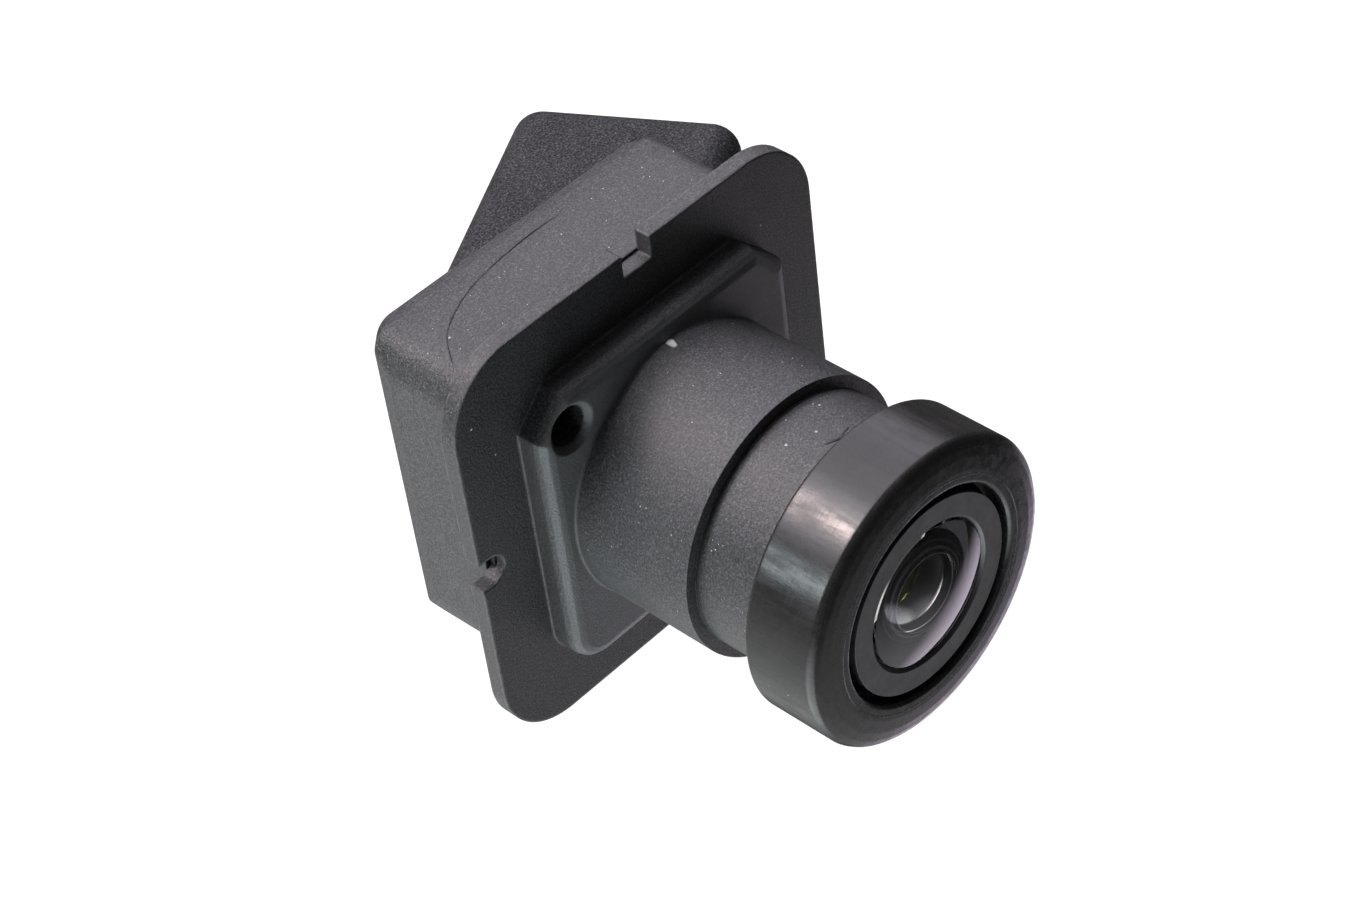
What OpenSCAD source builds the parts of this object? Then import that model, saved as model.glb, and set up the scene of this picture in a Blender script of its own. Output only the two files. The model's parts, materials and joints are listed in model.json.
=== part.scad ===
// Fixed rear-view camera module: square flange, stepped barrel, wide-angle lens, angled connector.
// Millimetres. +Z is up. The lens looks along -Y. The origin is where the lens axis crosses
// the front face of the flange.
// "ahead" means a distance in front of that face, towards -Y.
// "behind" means a distance in back of it, towards +Y.

/* [Flange and cover plate] */
// Width of the mounting flange
flange_w = 36; // [34:0.2:45]
// Height of the mounting flange
flange_h = 35.8; // [34:0.2:45]
// Flange thickness
flange_t = 1.4; // [1.2:0.05:3]
// Flange corner radius
flange_r = 6; // [2:0.1:8]
// Side of the raised plate on the flange
plate_w = 25.1; // [24:0.1:28]
// Height of the raised plate
plate_h = 2.5; // [1.5:0.1:4]
// Cut-off at the plate's faceted corners
plate_chamfer = 2.75; // [1.5:0.05:4]
// Diameter of the two screw pilot holes
pilot_d = 3.2; // [2:0.1:3.6]
// Distance from the lens axis to each pilot hole, sideways and up
pilot_offset = 9.7; // [9.3:0.1:10]

/* [Barrel and end ring] */
// Diameter of the large barrel
large_barrel_d = 21.9; // [20.6:0.1:22.4]
// Distance ahead of the step between the two barrels
barrel_step = 13.25; // [9:0.05:18]
// Diameter of the small barrel
small_barrel_d = 20; // [19.4:0.1:20.6]
// Outer diameter of the end ring
ring_d = 23.9; // [22:0.1:27]
// Distance ahead of the end ring's back edge
ring_back = 19.4; // [17:0.1:22]
// Distance ahead of the end ring's front face
ring_front = 26; // [25.8:0.1:27]
// Opening in the end ring
ring_open_d = 16.84; // [16.2:0.02:18]

/* [Lens] */
// Diameter of the lens head and its retaining ring
lens_head_d = 15.48; // [15:0.02:15.8]
// Diameter of the lens thread, shown as a plain wall
lens_thread_d = 12; // [11.5:0.1:12.4]
// Radial running gap between the lens thread and its holder
thread_gap = 0.05; // [0.02:0.01:0.1]
// Clear opening over the front glass
glass_open_d = 11.36; // [9:0.02:12]
// Radius of the front glass dome
dome_r = 17; // [12:0.5:40]

/* [Rear housing] */
// Gap from the flange's left and top edges to the housing behind it
housing_inset = 1.7; // [0.5:0.05:2.5]
// Width of the rear housing
housing_w = 29.5; // [28:0.1:31]
// Height of the rear housing
housing_h = 27.2; // [26:0.1:28]
// Distance behind of the rear housing's back face
housing_back = 11.3; // [10.5:0.1:13]
// Wall thickness of the rear housing
housing_wall = 1.6; // [1.2:0.1:2]

/* [Connector] */
// Angle of the connector, turned back from the flange plane
connector_angle = 28.7; // [25:0.1:35]
// Width of the connector block
connector_w = 17.6; // [15:0.1:18]
// Height of the connector block
connector_h = 14; // [12:0.1:15]
// Width of the socket
socket_w = 10; // [8:0.1:10.4]
// Height of the socket
socket_h = 8.8; // [7.5:0.1:9.5]
// Depth of the socket
socket_depth = 9; // [8:0.1:9.2]
// Distance between terminals
terminal_pitch = 2.6; // [2:0.1:3]

/* [Hidden] */

$fn = 96;
hair = 0.01;
half_w = flange_w / 2;
half_h = flange_h / 2;
plate_half = plate_w / 2;
plate_fillet = 1;
large_r = large_barrel_d / 2;
small_r = small_barrel_d / 2;
spigot_r = small_r - 0.7;
ring_r = ring_d / 2;
bore_r = 8.15;
head_r = lens_head_d / 2;
thread_r = lens_thread_d / 2;
glass_open_r = glass_open_d / 2;
boss_r = pilot_d / 2 + 1;

// Rear housing limits in x and z
box_x0 = -half_w + housing_inset;
box_x1 = box_x0 + housing_w;
box_z1 = half_h - housing_inset;
box_z0 = box_z1 - housing_h;
box_r = 3;

// Lens stations, as distances ahead
head_back = 19;
skirt_back = 22;
lens_back = 5;
holder_front = 14.8;
ledge_front = 17.2;
ledge_back = 15.2;

// Boards, with y positions behind the flange face
board_t = 1.1;
sensor_board_y = 1.6;
main_board_y = 4.8;
board_x0 = box_x0 + housing_wall + 0.6;
board_x1 = box_x1 - housing_wall - 0.6;
board_z0 = box_z0 + housing_wall + 0.5;
board_z1 = box_z1 - housing_wall - 0.5;

// Middle of the connector block's end face
end_centre = [14.7, 14.5, 8.1];
carrier_t = 2;
socket_wall = 1.4;

COL_BLACK = [0.07, 0.07, 0.08];
COL_RING = [0.10, 0.10, 0.11];
COL_METAL = [0.12, 0.12, 0.13];
COL_GLASS = [0.35, 0.40, 0.42, 0.5];
COL_BOARD = [0.05, 0.22, 0.12];
COL_CHIP = [0.08, 0.08, 0.09];
COL_STEEL = [0.62, 0.63, 0.65];
COL_GOLD = [0.80, 0.66, 0.30];
COL_RUBBER = [0.13, 0.13, 0.13];
COL_FILTER = [0.45, 0.62, 0.66, 0.6];
COL_CREAM = [0.80, 0.77, 0.66];

// ---------- placing helpers ----------

// Turns a shape that rises along +Z so that it runs forward, starting a distance ahead.
module forward_from(ahead)
    translate([0, -ahead, 0])
        rotate([90, 0, 0])
            children();

// Round bar on the lens axis between two distances ahead.
module bar(back, front, r)
    forward_from(back)
        cylinder(h = front - back, r = r);

// Round tube between two distances ahead.
module tube(back, front, outer, inner)
    difference() {
        bar(back, front, outer);
        bar(back - 1, front + 1, inner);
    }

// Ball whose centre lies a distance ahead on the lens axis.
module ball(ahead, r)
    translate([0, -ahead, 0])
        sphere(r = r, $fn = 160);

// Box given by its lowest and highest corners.
module block(low, high)
    translate(low)
        cube(high - low);

// Upright slab with rounded corners, given by its x, z and y limits.
module rounded_slab(x0, x1, z0, z1, r, y0, y1) {
    block([x0 + r, y0, z0], [x1 - r, y1, z1]);
    block([x0, y0, z0 + r], [x1, y1, z1 - r]);
    for (x = [x0 + r, x1 - r])
        for (z = [z0 + r, z1 - r])
            translate([x, 0, z])
                bar(-y1, -y0, r);
}

// Slab behind the flange with the rear housing's outline, drawn in by an inset all round.
module housing_slab(inset, y0, y1)
    rounded_slab(box_x0 + inset, box_x1 - inset, box_z0 + inset, box_z1 - inset, box_r - inset, y0, y1);

// Connector's own frame: x runs out of the socket and the origin is at its mouth.
module on_connector()
    translate(end_centre)
        rotate([0, 0, connector_angle])
            children();

// The outer boss stands in a notch in the rear housing's lower right corner.
module at_outer_boss()
    translate([pilot_offset, 0, -pilot_offset])
        children();

// Space of the notch around the outer boss, widened by a distance all round.
module boss_notch(grow, y0, y1) {
    r = boss_r + 0.15 + grow;
    reach = 12;
    at_outer_boss() {
        bar(-y1, -y0, r);
        block([-r, y0, -reach], [reach, y1, 0]);
        block([0, y0, -reach], [reach, y1, r]);
    }
}

// Both pilot holes, on one diagonal of the plate.
module at_pilot_holes() {
    at_outer_boss()
        children();
    translate([-pilot_offset, 0, pilot_offset])
        children();
}

// The two places where the boards are screwed to the flange.
module at_board_screws() {
    translate([board_x0 + 3, 0, board_z0 + 3])
        children();
    translate([1.8, 0, board_z1 - 3])
        children();
}

// The two small screws that hold the lens holder on its board.
module at_holder_screws()
    for (side = [-1, 1])
        translate([side * 6.2, 0, 5.7])
            children();

// ---------- front housing ----------

// Plate outline: three cut corners and one rounded corner at the lower left.
module plate_outline(inset) {
    half = plate_half - inset;
    cut = plate_chamfer - inset * 0.586;
    round_r = 3 - inset;
    difference() {
        square(2 * half, center = true);
        for (corner = [[-1, 1], [1, 1], [1, -1]])
            translate([corner[0] * half, corner[1] * half])
                rotate(45)
                    square(cut * sqrt(2), center = true);
        difference() {
            translate([-half - hair, -half - hair])
                square(round_r + hair);
            translate([-half + round_r, -half + round_r])
                circle(r = round_r, $fn = 48);
        }
    }
}

// Raised plate with a rounded front edge.
module plate()
    hull()
        for (angle = [0, 30, 60, 90])
            forward_from(0)
                linear_extrude(plate_h - plate_fillet * (1 - sin(angle)))
                    plate_outline(plate_fillet * (1 - cos(angle)));

// Notches in the flange's top and left edges that key it in its bracket.
module flange_notches() {
    block([-0.9, -1, half_h - 1.9], [1.9, flange_t + 1, half_h + 1]);
    block([-half_w - 1, -1, -1.3], [-half_w + 1, flange_t + 1, 1.3]);
    translate([-half_w + 1, 0, 0])
        bar(-flange_t - 1, 1, 1.3);
}

// Area that a line at this inset from the rear housing's outline goes round, past the outer boss.
module sealed_area(inset, y0, y1)
    difference() {
        housing_slab(inset, y0, y1);
        boss_notch(inset, y0 - 1, y1 + 1);
    }

// Groove in the flange's back face for the housing seal.
module seal_groove()
    difference() {
        sealed_area(0.35, flange_t - 0.6, flange_t + 1);
        sealed_area(1.25, flange_t - 2, flange_t + 2);
    }

// Flange, plate, stepped barrel and screw bosses in one moulding.
module front_housing_solid() {
    rounded_slab(-half_w, half_w, -half_h, half_h, flange_r, 0, flange_t);
    plate();
    bar(0, barrel_step, large_r);
    bar(0, ring_back + 0.1, small_r);
    bar(0, ring_front - 1.6, spigot_r);
    at_pilot_holes()
        bar(-7.2, 0, boss_r);
}

module front_housing()
    color(COL_BLACK)
        difference() {
            front_housing_solid();
            flange_notches();
            seal_groove();
            bar(-3, ledge_back, bore_r);
            bar(0, ledge_front + 1, 6.5);
            bar(ledge_front, ring_front + 1, bore_r);
            block([-7.6, -0.9, -7.3], [7.6, flange_t + 1, 7.3]);
            at_board_screws()
                bar(-flange_t - 1, 0.9, 0.85);
            at_pilot_holes() {
                bar(-6, plate_h + 1, pilot_d / 2);
                forward_from(plate_h - 0.45)
                    cylinder(h = 0.46, r1 = pilot_d / 2, r2 = pilot_d / 2 + 0.46);
            }
        }

module housing_seal()
    color(COL_RUBBER)
        difference() {
            sealed_area(0.4, flange_t - 0.55, flange_t + 0.01);
            sealed_area(1.2, flange_t - 2, flange_t + 2);
        }

// Push-on ring over the end of the small barrel, with a slightly domed front.
module end_ring()
    color(COL_RING)
        forward_from(0)
            rotate_extrude()
                polygon([
                    [spigot_r + 0.05, ring_back + 0.1],
                    [ring_r - 0.25, ring_back + 0.1],
                    [ring_r, ring_back + 0.35],
                    [ring_r, ring_front - 0.85],
                    [ring_r - 0.1, ring_front - 0.6],
                    [ring_r - 0.3, ring_front - 0.4],
                    [ring_r - 0.7, ring_front - 0.22],
                    [ring_r - 1.4, ring_front - 0.08],
                    [ring_r - 2.4, ring_front],
                    [ring_open_d / 2 + 0.2, ring_front],
                    [ring_open_d / 2, ring_front - 0.2],
                    [ring_open_d / 2, ring_front - 1.5],
                    [spigot_r + 0.05, ring_front - 1.5]
                ]);

// ---------- lens ----------

// Threaded lens tube with a wide head; two flats on the head take a spanner.
module lens_barrel()
    color(COL_METAL)
        difference() {
            union() {
                bar(head_back, skirt_back, head_r);
                bar(skirt_back - 1, 25.2, head_r - 0.8);
                bar(lens_back, head_back + 1, thread_r);
            }
            bar(lens_back - 1, 9.3, 3.4);
            bar(9.2, 18.9, 4.6);
            bar(18.8, 23.1, 5.4);
            bar(23, 26, 6.55);
            for (side = [-1, 1])
                translate([side * (head_r + 0.4), 0, 0])
                    block([-0.8, -20.6, -1.5], [0.8, -head_back + 1, 1.5]);
        }

// Cap ring that holds the front glass down.
module lens_retainer()
    color(COL_METAL)
        difference() {
            bar(skirt_back + 0.05, 25.8, head_r);
            bar(skirt_back - 1, 25.4, head_r - 0.75);
            bar(25, 27, glass_open_r);
            forward_from(25.5)
                cylinder(h = 0.31, r1 = glass_open_r, r2 = glass_open_r + 0.31);
        }

// Meniscus with a domed front and a deep hollow behind.
module front_glass() {
    dome_centre = 25.68 - sqrt(pow(dome_r, 2) - pow(glass_open_r, 2));
    color(COL_GLASS)
        difference() {
            union() {
                bar(23.2, 25.3, 6.45);
                intersection() {
                    bar(25, 28, glass_open_r - 0.08);
                    ball(dome_centre, dome_r);
                }
            }
            ball(20, 5.2);
        }
}

// Element with a shallow hollow in front and a deeper one behind.
module second_lens()
    color(COL_GLASS)
        difference() {
            bar(17.6, 20.4, 4.55);
            ball(34, 14);
            ball(14.9, 3.9);
        }

module first_spacer()
    color(COL_METAL)
        difference() {
            bar(20.5, 23.15, 5.35);
            forward_from(20)
                cylinder(h = 3.5, r1 = 3.5, r2 = 4.9);
        }

// Element that bulges on both sides.
module bulging_element(back, front, r, ball_r)
    forward_from(0)
        rotate_extrude()
            intersection() {
                translate([0, back])
                    square([r, front - back]);
                translate([0, front - ball_r])
                    circle(r = ball_r, $fn = 160);
                translate([0, back + ball_r])
                    circle(r = ball_r, $fn = 160);
            }

module third_lens()
    color(COL_GLASS)
        bulging_element(14.5, 17, 4.5, 9);

module second_spacer()
    color(COL_METAL)
        tube(17.05, 17.55, 4.55, 4.1);

module aperture_stop()
    color(COL_METAL)
        tube(14.05, 14.35, 4.55, 1.3);

module fourth_lens()
    color(COL_GLASS)
        bulging_element(10.15, 13.45, 4.5, 8.5);

module rear_spacer()
    color(COL_METAL)
        tube(9.35, 10.05, 4.55, 3.6);

// Round-section seal behind the lens head.
module lens_seal()
    color(COL_RUBBER)
        forward_from(18.1)
            rotate_extrude()
                translate([7.08, 0])
                    circle(r = 0.62, $fn = 48);

// ---------- camera core ----------

// Tube on a square foot that the lens screws into.
module lens_holder()
    color(COL_BLACK)
        difference() {
            union() {
                bar(0, holder_front, 7.6);
                block([-7.3, -0.7, -7], [7.3, sensor_board_y - 0.02, 7]);
            }
            bar(4.6, holder_front + 1, thread_r + thread_gap);
            block([-3, -5, -3], [3, -3, 3]);
            block([-4, -4, -4], [4, -3.2, 4]);
            block([-5.4, -3.3, -4.6], [5.4, 3, 4.6]);
            boss_notch(housing_wall + 0.2, -3, 3);
            at_holder_screws()
                bar(-3, -0.2, 0.6);
        }

module ir_filter()
    color(COL_FILTER)
        block([-3.9, -3.95, -3.9], [3.9, -3.65, 3.9]);

module image_sensor()
    color(COL_CHIP)
        block([-4, sensor_board_y - 0.95, -3.5], [4, sensor_board_y - 0.02, 3.5]);

module sensor_glass()
    color(COL_GLASS)
        block([-3.6, sensor_board_y - 1.4, -3.1], [3.6, sensor_board_y - 0.98, 3.1]);

// Board with a hole around the inner screw boss and one corner left out for the outer boss.
module board(x1, y0) {
    through = [-y0 - board_t - 1, -y0 + 1];
    difference() {
        block([board_x0, y0, board_z0], [x1, y0 + board_t, board_z1]);
        translate([-pilot_offset, 0, pilot_offset])
            bar(through[0], through[1], boss_r + 0.3);
        boss_notch(housing_wall + 0.35, -through[1], -through[0]);
        at_board_screws()
            bar(through[0], through[1], 0.85);
    }
}

module sensor_board()
    color(COL_BOARD)
        difference() {
            board(board_x1, sensor_board_y);
            at_holder_screws()
                bar(-sensor_board_y - board_t - 1, -sensor_board_y + 1, 0.6);
        }

// Small parts on the sensor board's back face.
module sensor_parts()
    color(COL_CREAM)
        for (row = [0:3])
            for (column = [0:2])
                translate([-9.6 + 1.6 * column, sensor_board_y + board_t + 0.01, -2.6 + 2.1 * row])
                    cube([1, 0.5, 0.5]);

// Small pan-head screws from behind the sensor board into the lens holder.
module holder_screws()
    color(COL_STEEL)
        at_holder_screws() {
            bar(-sensor_board_y - board_t - 0.7, -sensor_board_y - board_t - 0.02, 1.1);
            bar(-sensor_board_y - board_t - 0.3, -0.3, 0.55);
        }

module board_plug()
    color(COL_CREAM)
        block([-3, sensor_board_y + board_t + 0.01, -2], [1, 3.7, 4.6]);

module board_socket()
    color(COL_CHIP)
        block([-3.2, 3.72, -2.2], [1.2, main_board_y - 0.01, 4.8]);

module board_spacers()
    color(COL_STEEL)
        at_board_screws()
            tube(-main_board_y + 0.02, -sensor_board_y - board_t - 0.02, 1.5, 0.85);

module main_board()
    color(COL_BOARD)
        board(5.8, main_board_y);

module processor_chip()
    color(COL_CHIP)
        block([-6.4, main_board_y + board_t + 0.01, -4.6], [-0.4, main_board_y + board_t + 0.8, 1.4]);

// Small parts on the main board's back face.
module main_board_parts() {
    places = [[-9, -4], [-9, -2], [-9, 0], [-9, 2], [1.4, -6], [3.4, -6], [-5, 3.2], [-3, 3.2]];
    color(COL_CREAM)
        for (place = places)
            translate([place[0], main_board_y + board_t + 0.01, place[1]])
                cube([1.2, 0.6, 0.6]);
}

// Screws through both boards into the flange.
module board_screws()
    color(COL_STEEL)
        at_board_screws() {
            bar(-main_board_y - board_t - 0.9, -main_board_y - board_t - 0.02, 1.5);
            bar(-main_board_y - board_t - 0.5, 0.6, 0.8);
        }

// ---------- rear housing and connector ----------

// Shell outline with rounded sides; the left and right back edges are softer than the others.
module housing_outside()
    hull() {
        rounded_slab(box_x0, box_x1, box_z0, box_z1, box_r,
            flange_t + 0.02, housing_back - box_r, $fn = 32);
        for (angle = [30, 60, 90]) {
            side_inset = box_r * (1 - cos(angle));
            edge_inset = 0.9 * (1 - cos(angle));
            rounded_slab(box_x0 + side_inset, box_x1 - side_inset, box_z0 + edge_inset,
                box_z1 - edge_inset, 1.6, housing_back - box_r,
                housing_back - box_r * (1 - sin(angle)), $fn = 32);
        }
    }

// Space inside the shell, kept clear of the walls around the outer boss and the socket.
module housing_inside()
    difference() {
        housing_slab(housing_wall, 0, housing_back - housing_wall);
        boss_notch(housing_wall, -1, housing_back);
        on_connector()
            translate([-socket_depth - socket_wall, -socket_w / 2 - socket_wall, -socket_h / 2 - socket_wall])
                cube([20, socket_w + 10, socket_h + 2 * socket_wall]);
    }

// Soft-edged connector block from inside the housing to the socket's mouth.
module connector_outside() {
    edge = 2.3;
    length = 24;
    on_connector()
        hull()
            for (x = [-length, -edge])
                for (y = [-1, 1])
                    for (z = [-1, 1])
                        translate([x, y * (connector_w / 2 - edge), z * (connector_h / 2 - edge)])
                            sphere(r = edge, $fn = 32);
}

// Socket with rounded corners, open at the mouth.
module socket_space() {
    r = 1.4;
    half_w = socket_w / 2;
    half_h = socket_h / 2;
    translate([-socket_depth, -half_w + r, -half_h])
        cube([socket_depth + 1, socket_w - 2 * r, socket_h]);
    translate([-socket_depth, -half_w, -half_h + r])
        cube([socket_depth + 1, socket_w, socket_h - 2 * r]);
    for (y = [-1, 1])
        for (z = [-1, 1])
            translate([-socket_depth, y * (half_w - r), z * (half_h - r)])
                rotate([0, 90, 0])
                    cylinder(h = socket_depth + 1, r = r);
}

// Shell and connector block in one moulding, with a catch under the block for the plug's latch.
module rear_housing()
    color(COL_BLACK)
        difference() {
            union() {
                housing_outside();
                difference() {
                    connector_outside();
                    block([-30, -15, -10], [30, flange_t + 0.65, 30]);
                }
                on_connector()
                    translate([-6, -2.4, -connector_h / 2 - 1.1])
                        cube([3.2, 4.8, 1.4]);
            }
            housing_inside();
            boss_notch(0, 0, 7.6);
            on_connector() {
                socket_space();
                translate([-socket_depth - 6, -2.65, -3.5])
                    cube([6.5, 5.3, 7]);
            }
        }

// Insulating block at the floor of the socket that holds the terminals.
module pin_carrier()
    color(COL_CHIP)
        on_connector()
            difference() {
                translate([-socket_depth - carrier_t, -2.6, -3.45])
                    cube([carrier_t, 5.2, 6.9]);
                for (y = [-1, 1])
                    for (z = [-1, 1])
                        translate([-socket_depth - carrier_t - 1, y * terminal_pitch / 2 - 0.34,
                            z * terminal_pitch / 2 - 0.34])
                            cube([carrier_t + 2, 0.68, 0.68]);
            }

// Square terminals: each stands in the socket, runs through the carrier and turns to the board.
module terminals() {
    half = 0.32;
    inner_end = socket_depth + carrier_t + 0.3;
    color(COL_GOLD)
        for (y = [-1, 1])
            for (z = [-1, 1]) {
                side = y * terminal_pitch / 2;
                end_x = end_centre[0] - inner_end * cos(connector_angle) - side * sin(connector_angle);
                end_y = end_centre[1] - inner_end * sin(connector_angle) + side * cos(connector_angle);
                end_z = end_centre[2] + z * terminal_pitch / 2;
                on_connector()
                    translate([-inner_end, side - half, z * terminal_pitch / 2 - half])
                        cube([inner_end - socket_depth + 3.6, 2 * half, 2 * half]);
                block([end_x - half, main_board_y + board_t + 0.01, end_z - half],
                    [end_x + half, end_y + half, end_z + half]);
            }
}

front_housing();
rear_housing();
housing_seal();
end_ring();
lens_barrel();
lens_retainer();
front_glass();
second_lens();
first_spacer();
third_lens();
second_spacer();
aperture_stop();
fourth_lens();
rear_spacer();
lens_seal();
lens_holder();
ir_filter();
image_sensor();
sensor_glass();
sensor_board();
sensor_parts();
holder_screws();
board_plug();
board_socket();
board_spacers();
main_board();
processor_chip();
main_board_parts();
board_screws();
pin_carrier();
terminals();
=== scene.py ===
"""Looks for a rear-view camera module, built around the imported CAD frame.

Lengths in the tables below are millimetres in the row frame; MM turns them into metres.
The lens looks along -Y, +Z is up, and the origin is on the lens axis at the flange's front face.
"""

import json
import math
import random

import bmesh
import bpy
from mathutils import Matrix, Vector


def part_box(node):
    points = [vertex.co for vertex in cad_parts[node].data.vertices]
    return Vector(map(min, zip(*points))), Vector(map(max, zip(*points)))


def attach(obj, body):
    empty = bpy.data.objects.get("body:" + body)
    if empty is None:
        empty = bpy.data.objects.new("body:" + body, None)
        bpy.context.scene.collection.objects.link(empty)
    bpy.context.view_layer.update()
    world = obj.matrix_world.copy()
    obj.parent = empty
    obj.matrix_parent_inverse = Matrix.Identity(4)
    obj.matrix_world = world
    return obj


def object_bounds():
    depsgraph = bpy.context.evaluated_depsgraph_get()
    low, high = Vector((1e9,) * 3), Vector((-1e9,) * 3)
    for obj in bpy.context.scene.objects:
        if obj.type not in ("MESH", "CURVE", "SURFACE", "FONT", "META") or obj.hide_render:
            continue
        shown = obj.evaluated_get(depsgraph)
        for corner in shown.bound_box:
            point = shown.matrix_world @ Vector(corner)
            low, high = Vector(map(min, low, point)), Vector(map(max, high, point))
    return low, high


MM = 0.001

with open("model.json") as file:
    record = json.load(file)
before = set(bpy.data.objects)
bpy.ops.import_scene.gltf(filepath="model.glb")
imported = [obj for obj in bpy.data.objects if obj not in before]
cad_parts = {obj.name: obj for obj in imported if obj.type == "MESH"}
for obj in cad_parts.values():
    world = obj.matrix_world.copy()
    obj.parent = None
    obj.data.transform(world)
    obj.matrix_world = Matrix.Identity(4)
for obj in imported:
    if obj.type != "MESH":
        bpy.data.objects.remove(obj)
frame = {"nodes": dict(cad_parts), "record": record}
cad_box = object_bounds()

# ---------- sizes taken from the frame ----------


def node_box_mm(node):
    """Lowest and highest corner of a CAD node, in millimetres."""
    low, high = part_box(node)
    return low / MM, high / MM


BOX_TOP = node_box_mm("rear_housing")[1].z
RING_FRONT_Y = node_box_mm("end_ring")[0].y
LARGE_BARREL_R = 10.95
SMALL_BARREL_R = 10.0
BARREL_STEP_Y = -13.25

# ---------- node building ----------


class Shader:
    """One material's node tree: a Principled shader and texture coordinates in millimetres."""

    def __init__(self, name):
        self.material = bpy.data.materials.new(name)
        self.material.use_nodes = True
        self.tree = self.material.node_tree
        self.tree.nodes.clear()
        output = self.tree.nodes.new("ShaderNodeOutputMaterial")
        self.surface = self.tree.nodes.new("ShaderNodeBsdfPrincipled")
        self.tree.links.new(self.surface.outputs["BSDF"], output.inputs["Surface"])
        coordinates = self.tree.nodes.new("ShaderNodeTexCoord")
        self.place = self.add(
            "ShaderNodeVectorMath",
            {"operation": "SCALE"},
            {"Vector": coordinates.outputs["Object"], "Scale": 1 / MM},
        ).outputs["Vector"]

    def add(self, kind, settings=None, inputs=None):
        """Adds a node, sets its properties, and sets or links its inputs."""
        node = self.tree.nodes.new(kind)
        for key, value in (settings or {}).items():
            setattr(node, key, value)
        for key, value in (inputs or {}).items():
            self.put(node, key, value)
        return node

    def put(self, node, key, value):
        """Links a socket to an input, or sets the input's own value."""
        if isinstance(value, bpy.types.NodeSocket):
            self.tree.links.new(value, node.inputs[key])
        else:
            node.inputs[key].default_value = value

    def set(self, **inputs):
        """Sets or links the Principled shader's inputs, with _ for a space in their names."""
        for key, value in inputs.items():
            self.put(self.surface, key.replace("_", " "), value)

    def noise(self, per_mm, detail=2.0, roughness=0.5, distortion=0.0, place=None):
        """Noise with about that many grains in a millimetre."""
        return self.add(
            "ShaderNodeTexNoise",
            None,
            {
                "Vector": place or self.place,
                "Scale": per_mm,
                "Detail": detail,
                "Roughness": roughness,
                "Distortion": distortion,
            },
        ).outputs["Fac"]

    def calc(self, operation, a, b=0.0, clamp=False):
        """One arithmetic step."""
        return self.add(
            "ShaderNodeMath", {"operation": operation, "use_clamp": clamp}, {0: a, 1: b}
        ).outputs[0]

    def remap(self, value, old, new=(0.0, 1.0)):
        """Value moved from the range old to the range new, and kept inside it."""
        return self.add(
            "ShaderNodeMapRange",
            {"clamp": True},
            {
                "Value": value,
                "From Min": old[0],
                "From Max": old[1],
                "To Min": new[0],
                "To Max": new[1],
            },
        ).outputs["Result"]

    def mix(self, factor, a, b, blend="MIX"):
        """Two colours mixed by a factor."""
        return self.add(
            "ShaderNodeMix",
            {"data_type": "RGBA", "blend_type": blend},
            {0: factor, 6: a, 7: b},
        ).outputs[2]

    def specks(self, per_mm, size, share):
        """1 on small scattered specks: size is a share of a cell, share is how many cells have one."""
        cells = self.add(
            "ShaderNodeTexVoronoi",
            {"feature": "F1"},
            {"Vector": self.place, "Scale": per_mm, "Randomness": 1.0},
        )
        near = self.calc("LESS_THAN", cells.outputs["Distance"], size)
        chosen = self.calc(
            "GREATER_THAN",
            self.add(
                "ShaderNodeSeparateColor", None, {"Color": cells.outputs["Color"]}
            ).outputs[0],
            1 - share,
        )
        return self.calc("MULTIPLY", near, chosen)

    def along_axis(self, old, new):
        """A value that changes from new[0] to new[1] between two y positions in millimetres."""
        y = self.add("ShaderNodeSeparateXYZ", None, {0: self.place}).outputs["Y"]
        return self.remap(y, old, new)

    def from_axis(self, old, new):
        """A value that changes from new[0] to new[1] between two distances from the lens axis."""
        across = self.add("ShaderNodeVectorMath", {"operation": "MULTIPLY"}, {0: self.place, 1: (1, 0, 1)})
        length = self.add("ShaderNodeVectorMath", {"operation": "LENGTH"}, {0: across.outputs["Vector"]})
        return self.remap(length.outputs["Value"], old, new)

    def soft_edges(self, radius_mm):
        """A normal that rounds the edges, and a mask that is 1 on them."""
        radius = radius_mm if isinstance(radius_mm, bpy.types.NodeSocket) else radius_mm * MM
        rounded = self.add("ShaderNodeBevel", {"samples": 6}, {"Radius": radius}).outputs["Normal"]
        flat = self.add("ShaderNodeNewGeometry").outputs["Normal"]
        alike = self.add(
            "ShaderNodeVectorMath", {"operation": "DOT_PRODUCT"}, {0: rounded, 1: flat}
        ).outputs["Value"]
        return rounded, self.remap(alike, (0.995, 0.86))

    def bump(self, height, depth_mm, normal=None, strength=1.0):
        """A surface normal bent by a height map that is depth_mm deep."""
        inputs = {"Height": height, "Distance": depth_mm * MM, "Strength": strength}
        if normal is not None:
            inputs["Normal"] = normal
        return self.add("ShaderNodeBump", None, inputs).outputs["Normal"]

    def turned_grooves(self, per_mm):
        """Fine rings around the lens axis, as left by a lathe."""
        return self.add(
            "ShaderNodeTexWave",
            {"wave_type": "RINGS", "rings_direction": "Y"},
            {"Vector": self.place, "Scale": per_mm, "Distortion": 0.4, "Detail": 2.0},
        ).outputs["Fac"]


def rgb(r, g, b):
    """An opaque colour."""
    return (r, g, b, 1.0)


# ---------- materials ----------


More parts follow.
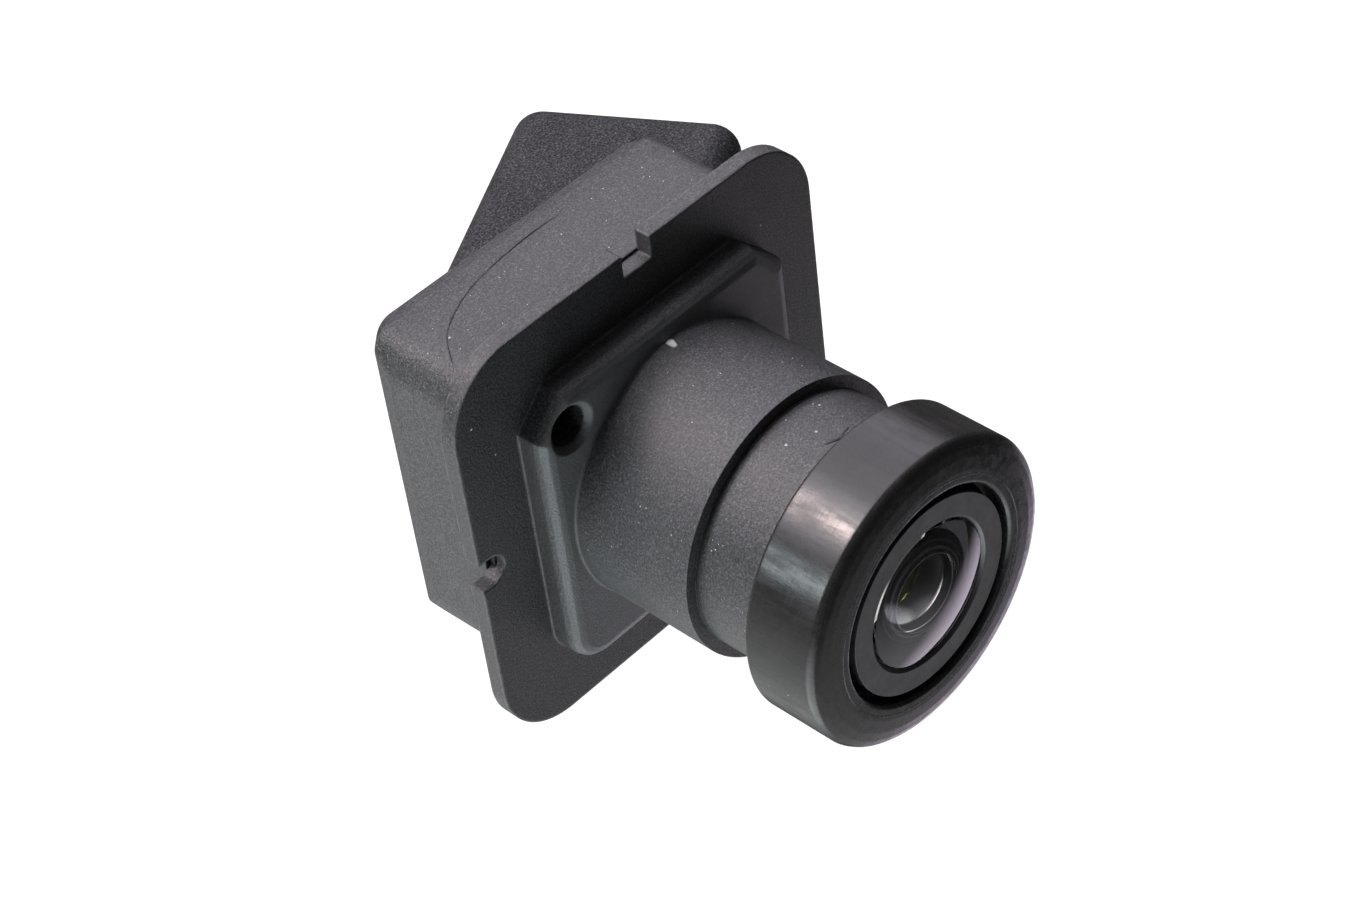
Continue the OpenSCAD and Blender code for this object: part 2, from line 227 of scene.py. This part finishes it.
def moulded_plastic(name, dark, light, roughness, grain_mm):
    """Black moulded plastic: fine grain, faint clouding, rubbed edges and a little dust.

    The edges are painted lighter, partly for wear from rubbing and partly as a painted highlight; the
    raised plate is painted a little lighter as painted light; and the connector block is kept duller than
    the rest as painted shade.
    """
    s = Shader(name)
    rounded, edge = s.soft_edges(s.along_axis((-3.4, -2.6), (0.10 * MM, 0.36 * MM)))
    grain = s.noise(5.5, 3.0, 0.66)
    fine = s.noise(10.0, 2.0, 0.6)
    sparkle = s.remap(s.noise(7.0, 1.0, 0.5), (0.60, 0.72))
    clouds = s.noise(0.16, 3.0, 0.55, 0.4)
    tone = s.calc(
        "ADD", s.remap(grain, (0.42, 0.64), (0.0, 0.8)), s.remap(clouds, (0.3, 0.7), (0.0, 0.2))
    )
    colour = s.mix(tone, dark, light)
    # Lighter edges: partly wear from rubbing, partly a painted highlight where light catches the rounded
    # edges.
    rubbed_and_highlit = s.calc("MULTIPLY", edge, s.remap(s.noise(1.1, 3.0), (0.38, 0.62), (0.15, 0.8)))
    colour = s.mix(rubbed_and_highlit, colour, rgb(0.15, 0.15, 0.16))
    colour = s.mix(s.calc("MULTIPLY", sparkle, 0.55), colour, rgb(0.17, 0.175, 0.19))
    # Painted light: the raised plate, from about y -2.8 to -1.9 mm, is painted a little lighter, standing
    # in for the light it catches.
    behind_front = s.along_axis((-2.8, -2.6), (0.0, 1.0))
    plate_painted_light = s.calc("MULTIPLY", behind_front, s.along_axis((-2.3, -1.9), (1.0, 0.0)))
    colour = s.mix(s.calc("MULTIPLY", plate_painted_light, 0.75), colour, rgb(0.115, 0.12, 0.125))
    dust = s.specks(0.55, 0.055, 0.16)
    colour = s.mix(s.calc("MULTIPLY", dust, 0.75), colour, rgb(0.5, 0.5, 0.48))
    # Painted shade: the specular level is 0.5 on the box's left face, its top and the front parts, and
    # 0.08 elsewhere, mostly on the connector block. It falls to 0.65 of that from y 7 to 11 mm.
    x, y, z = s.add("ShaderNodeSeparateXYZ", None, {0: s.place}).outputs
    on_left, on_top = s.remap(x, (-13.0, -14.5)), s.remap(z, (15.3, 15.8))
    not_block = s.calc("MAXIMUM", s.calc("MAXIMUM", on_left, on_top), s.remap(y, (1.9, 1.5)))
    painted_shade_fade = s.remap(y, (7.0, 11.0), (1.0, 0.65))
    sheen_with_painted_shade = s.calc("MULTIPLY", s.remap(not_block, (0.0, 1.0), (0.08, 0.5)), painted_shade_fade)
    s.set(Base_Color=colour, IOR=1.5, Specular_IOR_Level=sheen_with_painted_shade)
    rough_range = (roughness - 0.07, roughness + 0.09)
    s.set(Roughness=s.remap(s.calc("ADD", fine, clouds), (0.6, 1.4), rough_range))
    s.set(Normal=s.bump(s.calc("ADD", grain, s.calc("MULTIPLY", fine, 0.45)), grain_mm, rounded))
    return s.material


def ring_plastic(name):
    """Glossy black: wiped streaks along its axis, hair scratches around it and specks of dust."""
    s = Shader(name)
    rounded, edge = s.soft_edges(0.25)
    smears = s.noise(0.35, 4.0, 0.6, 1.2)
    around = s.add(
        "ShaderNodeVectorMath", {"operation": "MULTIPLY"}, {0: s.place, 1: (0.35, 5.0, 0.35)}
    ).outputs["Vector"]
    hairlines = s.noise(1.6, 4.0, 0.65, 0.0, around)
    along = s.add(
        "ShaderNodeVectorMath", {"operation": "MULTIPLY"}, {0: s.place, 1: (1.7, 0.28, 1.7)}
    ).outputs["Vector"]
    streaks = s.noise(0.9, 4.0, 0.6, 0.3, along)
    colour = s.mix(smears, rgb(0.008, 0.008, 0.008), rgb(0.028, 0.027, 0.027))
    colour = s.mix(s.calc("MULTIPLY", edge, 0.35), colour, rgb(0.05, 0.05, 0.05))
    dust = s.specks(0.6, 0.05, 0.1)
    colour = s.mix(s.calc("MULTIPLY", dust, 0.7), colour, rgb(0.45, 0.44, 0.42))
    wiped = s.remap(streaks, (0.38, 0.66), (0.17, 0.34))
    rough = s.calc("ADD", wiped, s.remap(hairlines, (0.4, 0.7), (0.0, 0.06)))
    s.set(Base_Color=colour, Roughness=rough, IOR=1.38)
    relief = s.calc("ADD", hairlines, s.calc("MULTIPLY", streaks, 2.6))
    s.set(Normal=s.bump(s.calc("ADD", relief, s.noise(6.0, 2.0)), 0.0035, rounded))
    return s.material


def black_metal(name):
    """Black anodised aluminium with lathe rings."""
    s = Shader(name)
    rounded, edge = s.soft_edges(0.06)
    grooves = s.turned_grooves(2.4)
    blotches = s.noise(0.7, 3.0)
    colour = s.mix(s.remap(blotches, (0.3, 0.7)), rgb(0.028, 0.028, 0.030), rgb(0.060, 0.060, 0.063))
    colour = s.mix(s.calc("MULTIPLY", edge, 0.5), colour, rgb(0.16, 0.16, 0.17))
    dust = s.specks(0.9, 0.06, 0.06)
    colour = s.mix(s.calc("MULTIPLY", dust, 0.7), colour, rgb(0.5, 0.48, 0.45))
    s.set(Base_Color=colour, IOR=1.6, Metallic=0.25)
    s.set(Roughness=s.remap(s.noise(3.0, 3.0), (0.3, 0.7), (0.34, 0.46)))
    s.set(Normal=s.bump(s.calc("ADD", s.calc("MULTIPLY", grooves, 0.3), s.noise(8.0)), 0.003, rounded))
    return s.material


def coated_glass(name, tint, coating, film_nm):
    """Polished glass with a coloured anti-glare coating, faint smears and dust."""
    s = Shader(name)
    smears = s.noise(0.5, 3.0, 0.6, 0.8)
    s.set(Base_Color=s.mix(smears, tint, rgb(*(0.97 * c for c in tint[:3]))))
    s.set(Transmission_Weight=1.0, IOR=1.52, Specular_Tint=coating)
    s.set(Thin_Film_Thickness=film_nm, Thin_Film_IOR=1.38)
    s.set(Roughness=s.remap(smears, (0.35, 0.75), (0.0, 0.03)))
    s.set(Normal=s.bump(smears, 0.0006))
    return s.material


def front_glass(name):
    """The front glass: outside a clear middle its back is opaque and near black, as painted shade for the
    dark inside of the lens, with fine lighter rings around the middle as painted light for the inner lens
    edges.
    """
    s = Shader(name)
    smears = s.noise(0.5, 3.0, 0.6, 0.8)
    # Painted shade: on the back, outside 2.75 to 2.85 mm from the axis, the glass is opaque and near
    # black, standing in for the dark inside of the lens.
    at_back = s.along_axis((-25.5, -25.35), (0.0, 1.0))
    clear = s.calc("SUBTRACT", 1.0, s.calc("MULTIPLY", at_back, s.from_axis((2.75, 2.85), (0.0, 1.0))))
    # Painted light: lighter fine rings out to 3.2 to 3.9 mm from the axis stand in for the lit edges of
    # the inner lenses.
    painted_light_rings = s.remap(s.turned_grooves(0.75), (0.25, 0.9))
    rings = s.calc("MULTIPLY", s.from_axis((3.2, 3.9), (1.0, 0.0)), painted_light_rings)
    painted = s.mix(rings, rgb(0.006, 0.006, 0.007), rgb(0.13, 0.125, 0.13))
    dust = s.specks(1.1, 0.06, 0.05)
    painted = s.mix(s.calc("MULTIPLY", dust, 0.5), painted, rgb(0.4, 0.4, 0.4))
    s.set(Base_Color=s.mix(clear, painted, rgb(0.96, 0.96, 0.93)), Transmission_Weight=clear)
    s.set(IOR=1.52, Specular_Tint=rgb(0.94, 0.88, 1.0))
    s.set(Roughness=s.remap(smears, (0.35, 0.75), (0.01, 0.06)))
    s.set(Normal=s.bump(smears, 0.0006))
    return s.material


def soft_rubber(name):
    """Black rubber with a powdery bloom."""
    s = Shader(name)
    bloom = s.noise(1.2, 4.0, 0.65)
    s.set(Base_Color=s.mix(bloom, rgb(0.010, 0.010, 0.010), rgb(0.045, 0.044, 0.042)))
    s.set(Roughness=s.remap(bloom, (0.3, 0.7), (0.55, 0.8)), IOR=1.5)
    s.set(Normal=s.bump(s.noise(7.0, 3.0), 0.006))
    return s.material


def circuit_board(name):
    """Green solder mask over faint copper tracks, with tinned pads."""
    s = Shader(name)
    flat = s.add("ShaderNodeMapping", None, {"Vector": s.place, "Rotation": (math.pi / 2, 0, 0)})
    tracks = s.add(
        "ShaderNodeTexBrick",
        {"offset": 0.35},
        {"Vector": flat.outputs[0], "Scale": 0.9, "Mortar Size": 0.06},
    ).outputs["Fac"]
    weave = s.noise(2.0, 3.0)
    colour = s.mix(weave, rgb(0.006, 0.055, 0.026), rgb(0.012, 0.085, 0.040))
    colour = s.mix(s.calc("MULTIPLY", tracks, 0.6), colour, rgb(0.05, 0.20, 0.08))
    pads = s.specks(0.7, 0.16, 0.35)
    colour = s.mix(pads, colour, rgb(0.62, 0.60, 0.55))
    s.set(Base_Color=colour, Metallic=s.calc("MULTIPLY", pads, 0.9), IOR=1.5)
    s.set(Roughness=s.remap(weave, (0.3, 0.7), (0.22, 0.4)))
    s.set(Normal=s.bump(s.calc("ADD", tracks, weave), 0.012))
    return s.material


def small_part(name, dark, light, roughness, metallic=0.0):
    """Chips, plugs, spacers and screws: even colour broken by fine grain and handling marks."""
    s = Shader(name)
    rounded, edge = s.soft_edges(0.05)
    marks = s.noise(1.6, 4.0, 0.6)
    colour = s.mix(marks, dark, light)
    colour = s.mix(s.calc("MULTIPLY", edge, 0.4), colour, rgb(*(min(1.0, 1.5 * c) for c in light[:3])))
    s.set(Base_Color=colour, Metallic=metallic, IOR=1.5)
    s.set(Roughness=s.remap(marks, (0.3, 0.7), (roughness - 0.08, roughness + 0.1)))
    s.set(Normal=s.bump(s.noise(7.0, 3.0), 0.004, rounded))
    return s.material


MATERIALS = {
    "housing_plastic": moulded_plastic(
        "housing_plastic", rgb(0.008, 0.008, 0.009), rgb(0.070, 0.071, 0.076), 0.45, 0.055
    ),
    "ring_plastic": ring_plastic("ring_plastic"),
    "lens_metal": black_metal("lens_metal"),
    "lens_glass": coated_glass("lens_glass", rgb(0.93, 0.94, 0.88), rgb(0.93, 0.86, 1.0), 110.0),
    "filter_glass": coated_glass("filter_glass", rgb(0.62, 0.86, 0.88), rgb(1.0, 0.6, 0.6), 520.0),
    "seal_rubber": soft_rubber("seal_rubber"),
    "holder_plastic": moulded_plastic(
        "holder_plastic", rgb(0.012, 0.012, 0.013), rgb(0.036, 0.036, 0.038), 0.55, 0.020
    ),
    "circuit_board": circuit_board("circuit_board"),
    "sensor_die": small_part("sensor_die", rgb(0.05, 0.04, 0.06), rgb(0.10, 0.08, 0.11), 0.2),
    "chip_epoxy": small_part("chip_epoxy", rgb(0.015, 0.015, 0.017), rgb(0.035, 0.035, 0.038), 0.55),
    "part_ceramic": small_part("part_ceramic", rgb(0.36, 0.25, 0.15), rgb(0.55, 0.42, 0.28), 0.45),
    "plug_plastic": small_part("plug_plastic", rgb(0.60, 0.55, 0.43), rgb(0.74, 0.69, 0.56), 0.5),
    "spacer_brass": small_part("spacer_brass", rgb(0.55, 0.40, 0.17), rgb(0.72, 0.56, 0.28), 0.3, 1.0),
    "screw_steel": small_part("screw_steel", rgb(0.42, 0.42, 0.44), rgb(0.62, 0.62, 0.64), 0.32, 1.0),
    "terminal_tin": small_part("terminal_tin", rgb(0.58, 0.45, 0.22), rgb(0.80, 0.68, 0.42), 0.25, 1.0),
}

GLASS_BY_NODE = {"front_glass": front_glass("front_glass")}
for number, node in enumerate(("second_lens", "third_lens", "fourth_lens")):
    GLASS_BY_NODE[node] = coated_glass(
        "coating_" + node, rgb(0.86, 0.88, 0.42), rgb(1.0, 0.74, 0.12), 30.0 * number
    )

for subpart in frame["record"]["subparts"]:
    mesh = frame["nodes"][subpart["node"]].data
    mesh.materials.clear()
    mesh.materials.append(GLASS_BY_NODE.get(subpart["node"], MATERIALS[subpart["material_slot"]]))

# ---------- small surface details ----------

RANDOM = random.Random(11)


def add_piece(name, vertices, faces, body, material):
    """A smooth piece from vertices in millimetres, fixed to a body."""
    mesh = bpy.data.meshes.new(name)
    mesh.from_pydata([tuple(MM * c for c in v) for v in vertices], [], faces)
    for polygon in mesh.polygons:
        polygon.use_smooth = True
    mesh.materials.append(material)
    piece = bpy.data.objects.new(name, mesh)
    bpy.context.scene.collection.objects.link(piece)
    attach(piece, body)
    return piece


def curve_through(points, steps=6):
    """Catmull-Rom curve through the points."""
    knots = [Vector(p) for p in points]
    knots = [2 * knots[0] - knots[1]] + knots + [2 * knots[-1] - knots[-2]]
    path = []
    for a, b, c, d in zip(knots, knots[1:], knots[2:], knots[3:]):
        for step in range(steps):
            t = step / steps
            bend = (2 * a - 5 * b + 4 * c - d) * t**2 + (3 * b - a - 3 * c + d) * t**3
            path.append(0.5 * (2 * b + (c - a) * t + bend))
    return path + [knots[-2]]


def bead(name, path, up_at, half_width, height, body, slot, material, closed=False):
    """A half-round line along a path, half sunk in the surface whose normal is up_at(point)."""
    sides = 8
    count = len(path)
    vertices, faces = [], []
    for i, point in enumerate(path):
        before = path[i - 1] if closed or i else point
        after = path[(i + 1) % count] if closed or i + 1 < count else point
        up = up_at(point).normalized()
        side = (after - before).cross(up).normalized()
        taper = 1.0 if closed else min(1.0, 0.12 + 3.5 * min(i, count - 1 - i) / count)
        for k in range(sides):
            angle = 2 * math.pi * k / sides
            along_side = side * (half_width * taper * math.cos(angle))
            vertices.append(point + along_side + up * (height * taper * math.sin(angle)))
    for i in range(count if closed else count - 1):
        j = (i + 1) % count
        for k in range(sides):
            m = (k + 1) % sides
            faces.append((i * sides + k, i * sides + m, j * sides + m, j * sides + k))
    if not closed:
        faces.append(tuple(reversed(range(sides))))
        faces.append(tuple(range((count - 1) * sides, count * sides)))
    return add_piece(name, vertices, faces, body, material)


def circle(radius, y, steps=180):
    """Points around the lens axis."""
    angles = [2 * math.pi * i / steps for i in range(steps)]
    return [Vector((radius * math.sin(angle), y, radius * math.cos(angle))) for angle in angles]


def radial(point):
    """Normal of a barrel at a point."""
    return Vector((point.x, 0, point.z))


def forward(point):
    """Normal of the front faces."""
    return Vector((0, -1, 0))


def upward(point):
    """Normal of the top faces."""
    return Vector((0, 0, 1))


def grains(name, places, body, material):
    """Irregular flat crumbs, each given as its centre, surface normal, length and width."""
    vertices, faces = [], []
    for centre, up, length, width in places:
        form = bmesh.new()
        bmesh.ops.create_icosphere(form, subdivisions=2, radius=1.0)
        up = up.normalized()
        along = up.orthogonal().normalized()
        turn = Matrix.Rotation(RANDOM.uniform(0, math.pi), 3, up)
        along = turn @ along
        across = up.cross(along)
        first = len(vertices)
        for v in form.verts:
            lump = 1 + 0.28 * math.sin(3.1 * v.co.x + 7 * length) * math.cos(2.7 * v.co.y + 9 * width)
            vertices.append(
                centre
                + along * (v.co.x * length / 2 * lump)
                + across * (v.co.y * width / 2 * lump)
                + up * (v.co.z * width * 0.18 * lump)
            )
        faces.extend(tuple(first + v.index for v in face.verts) for face in form.faces)
        form.free()
    return add_piece(name, vertices, faces, body, material)


def on_barrel(radius, angle, y):
    """A point on a barrel, its angle measured from the top toward +X in degrees."""
    a = math.radians(angle)
    return Vector((radius * math.sin(a), y, radius * math.cos(a)))


# Parting line on top of the box, as x and y.
SEAM = [(-15.2, 2.1), (-13.0, 5.2), (-11.3, 6.5), (-8.3, 7.8), (-4.7, 8.45), (-1.5, 8.7), (1.4, 8.6)]
# Scratches on the small barrel, as angle and y.
SCRATCH = [(-6.6, -17.5), (4.6, -18.2), (24.3, -18.4)]
SCRATCH_BRANCH = [(1.0, -18.3), (7.0, -17.9), (13.0, -17.7)]
# Specks on the small barrel (angle, y, size) and on the flange (x, z, size).
BARREL_SPECKS = [(13.6, -14.6, 0.2), (-2.3, -14.0, 0.12), (12.4, -14.2, 0.12)]
FLANGE_SPECKS = [(-16.3, 13.1, 0.22), (-14.7, 9.6, 0.18)]
# Scattered dust on the barrels: count, radius, and the two ends in y.
BARREL_DUST = [(26, LARGE_BARREL_R, -12.6, -3.2), (16, SMALL_BARREL_R, -18.8, -14.0)]
BOX_DUST_COUNT = 30
DUST_SIZES = (0.06, 0.14)


def scratch_path(places):
    """A curve over the small barrel through places given as angle and y."""
    return curve_through([on_barrel(SMALL_BARREL_R, angle, y) for angle, y in places])


def lines():
    """Parting line, a fine turned line on the ring's front, a dark line of painted shade around the small
    barrel's root, and a forked scratch.
    """
    plastic, ring = MATERIALS["housing_plastic"], MATERIALS["ring_plastic"]
    # Dark material for the scratches, and for the painted shade at the barrel's root.
    scratch_and_shade = small_part("scratch_and_shade_plastic", rgb(0.006, 0.006, 0.006), rgb(0.016, 0.016, 0.016), 0.6)
    on_housing = ("housing", "housing_plastic")
    seam = curve_through([(x, y, BOX_TOP) for x, y in SEAM])
    bead("box_parting_line", seam, upward, 0.09, 0.035, *on_housing, plastic)
    # Painted shade: a dark band around the small barrel's root, in the crease at the step.
    root = circle(SMALL_BARREL_R, BARREL_STEP_Y - 0.16)
    bead("barrel_root_shade_line", root, radial, 0.15, 0.02, *on_housing, scratch_and_shade, True)
    ring_line = circle(9.2, RING_FRONT_Y)
    bead("ring_front_line", ring_line, forward, 0.06, 0.015, "housing", "ring_plastic", ring, True)
    bead("barrel_scratch", scratch_path(SCRATCH), radial, 0.12, 0.012, *on_housing, scratch_and_shade)
    branch = scratch_path(SCRATCH_BRANCH)
    bead("barrel_scratch_branch", branch, radial, 0.08, 0.012, *on_housing, scratch_and_shade)


def crumbs():
    """A chip at the barrel's root, a few specks, and scattered dust."""
    pale = small_part("pale_dust", rgb(0.55, 0.55, 0.54), rgb(0.80, 0.80, 0.78), 0.75)
    top, front = Vector((0, 0, 1)), Vector((0, -1, 0))
    chips = [(on_barrel(LARGE_BARREL_R, 0, -3.0), top, 1.25, 0.7)]
    for angle, y, size in BARREL_SPECKS:
        chips.append((on_barrel(SMALL_BARREL_R, angle, y), on_barrel(1, angle, 0), size, 0.7 * size))
    for x, z, size in FLANGE_SPECKS:
        chips.append((Vector((x, 0, z)), front, size, 0.7 * size))
    for count, radius, y0, y1 in BARREL_DUST:
        for _ in range(count):
            angle = RANDOM.uniform(-100, 90)
            size = RANDOM.uniform(*DUST_SIZES)
            place = on_barrel(radius, angle, RANDOM.uniform(y0, y1))
            chips.append((place, on_barrel(1, angle, 0), size, 0.6 * size))
    for _ in range(BOX_DUST_COUNT):
        size = RANDOM.uniform(*DUST_SIZES)
        place = Vector((RANDOM.uniform(-15, 12), RANDOM.uniform(2, 9.5), BOX_TOP))
        chips.append((place, top, size, 0.6 * size))
    grains("dust_crumbs", chips, "housing", pale)


lines()
crumbs()

# ---------- floor, light and camera ----------

FLOOR_Z = cad_box[0][2] - 0.002


def floor():
    """A plain white table top. Only the camera sees it, so the room below lights the object too."""
    half = 1.6
    mesh = bpy.data.meshes.new("studio_floor")
    corners = [(x * half, y * half, FLOOR_Z) for x, y in ((-1, -1), (1, -1), (1, 1), (-1, 1))]
    mesh.from_pydata(corners, [], [(0, 1, 2, 3)])
    table = bpy.data.objects.new("studio_floor", mesh)
    bpy.context.scene.collection.objects.link(table)
    for seen_by in ("visible_diffuse", "visible_glossy", "visible_transmission", "visible_shadow"):
        setattr(table, seen_by, False)
    s = Shader("studio_floor")
    paper = s.noise(0.4, 3.0)
    s.set(Base_Color=s.mix(paper, rgb(0.10, 0.10, 0.10), rgb(0.12, 0.12, 0.12)), Roughness=0.9)
    s.set(Emission_Color=rgb(1.0, 1.0, 1.0), Emission_Strength=1.0)
    mesh.materials.append(s.material)


def toward(azimuth, elevation):
    """Unit vector away from the object; azimuth 0 is in front of the lens, in degrees."""
    a, e = math.radians(azimuth), math.radians(elevation)
    return Vector((math.sin(a) * math.cos(e), -math.cos(a) * math.cos(e), math.sin(e)))


# Soft patches of light: azimuth, elevation, half width, soft share of it, strength and colour.
PATCHES = {
    "soft_box_behind": (139, 46, 40, 0.7, 2.8, (0.98, 0.95, 1.04)),
    "soft_box_behind_left": (-142, 53, 24, 0.6, 7.4, (0.99, 0.96, 1.04)),
    "pink_card": (-146, 50, 6.5, 0.35, 46.0, (1.0, 0.80, 0.76)),
    "table_behind_left": (-139, -42, 48, 0.7, 0.95, (0.98, 1.0, 1.0)),
    "table_left": (-72, -46, 42, 0.8, 4.1, (0.93, 1.0, 1.02)),
    "blue_card": (-121, 20, 10, 0.5, 13.0, (0.86, 0.96, 1.0)),
    "ceiling": (178, 66, 22, 0.6, 1.5, (1.0, 1.0, 1.0)),
    "violet_card": (94, -52, 27, 0.9, 1.6, (0.95, 0.84, 1.0)),
    "table_in_front": (0, -62, 40, 0.8, 0.7, (1.0, 1.0, 1.0)),
}
ROOM = 0.07


def surroundings():
    """A dark room with soft patches of light around the object."""
    world = bpy.data.worlds.new("studio_room")
    bpy.context.scene.world = world
    world.use_nodes = True
    tree = world.node_tree
    tree.nodes.clear()

    def add(kind, settings, inputs):
        node = tree.nodes.new(kind)
        for key, value in settings.items():
            setattr(node, key, value)
        for key, value in inputs.items():
            if isinstance(value, bpy.types.NodeSocket):
                tree.links.new(value, node.inputs[key])
            else:
                node.inputs[key].default_value = value
        return node

    direction = add("ShaderNodeTexCoord", {}, {}).outputs["Generated"]
    total = add("ShaderNodeCombineXYZ", {}, {"X": ROOM, "Y": ROOM, "Z": ROOM}).outputs[0]
    for azimuth, elevation, half_width, soft, strength, colour in PATCHES.values():
        centre = toward(azimuth, elevation)
        aim = add(
            "ShaderNodeVectorMath", {"operation": "DOT_PRODUCT"}, {0: direction, 1: centre}
        ).outputs["Value"]
        glow = add(
            "ShaderNodeMapRange",
            {"interpolation_type": "SMOOTHSTEP"},
            {
                "Value": aim,
                "From Min": math.cos(math.radians(half_width)),
                "From Max": math.cos(math.radians(half_width * (1 - soft))),
            },
        ).outputs["Result"]
        full = [strength * c for c in colour]
        light = add(
            "ShaderNodeVectorMath", {"operation": "SCALE"}, {0: full, "Scale": glow}
        ).outputs["Vector"]
        total = add(
            "ShaderNodeVectorMath", {"operation": "ADD"}, {0: total, 1: light}
        ).outputs["Vector"]
    background = add("ShaderNodeBackground", {}, {"Color": total, "Strength": 1.0})
    add("ShaderNodeOutputWorld", {}, {"Surface": background.outputs[0]})


# Camera place in metres, and its angles and field of view in degrees.
CAMERA_PLACE = Vector((-0.11427, -0.13203, 0.15740))
CAMERA_AZIMUTH = -41.364
CAMERA_ELEVATION = 42.241
CAMERA_ROLL = -7.944
CAMERA_FIELD = 23.738


def camera():
    """The camera at the reference viewing angle, turned a little about its own axis."""
    back = toward(CAMERA_AZIMUTH, CAMERA_ELEVATION)
    azimuth, roll = math.radians(CAMERA_AZIMUTH), math.radians(CAMERA_ROLL)
    level_right = Vector((math.cos(azimuth), math.sin(azimuth), 0))
    level_up = back.cross(level_right)
    right = level_right * math.cos(roll) + level_up * math.sin(roll)
    up = level_up * math.cos(roll) - level_right * math.sin(roll)
    data = bpy.data.cameras.new("camera")
    data.sensor_fit = "HORIZONTAL"
    data.sensor_width = 36.0
    data.angle = math.radians(CAMERA_FIELD)
    data.clip_start = 0.005
    data.clip_end = 20.0
    eye = bpy.data.objects.new("camera", data)
    bpy.context.scene.collection.objects.link(eye)
    turn = Matrix((right, up, back)).transposed().to_4x4()
    eye.matrix_world = Matrix.Translation(CAMERA_PLACE) @ turn
    bpy.context.scene.camera = eye


floor()
surroundings()
camera()
bpy.context.scene.view_settings.view_transform = "Standard"
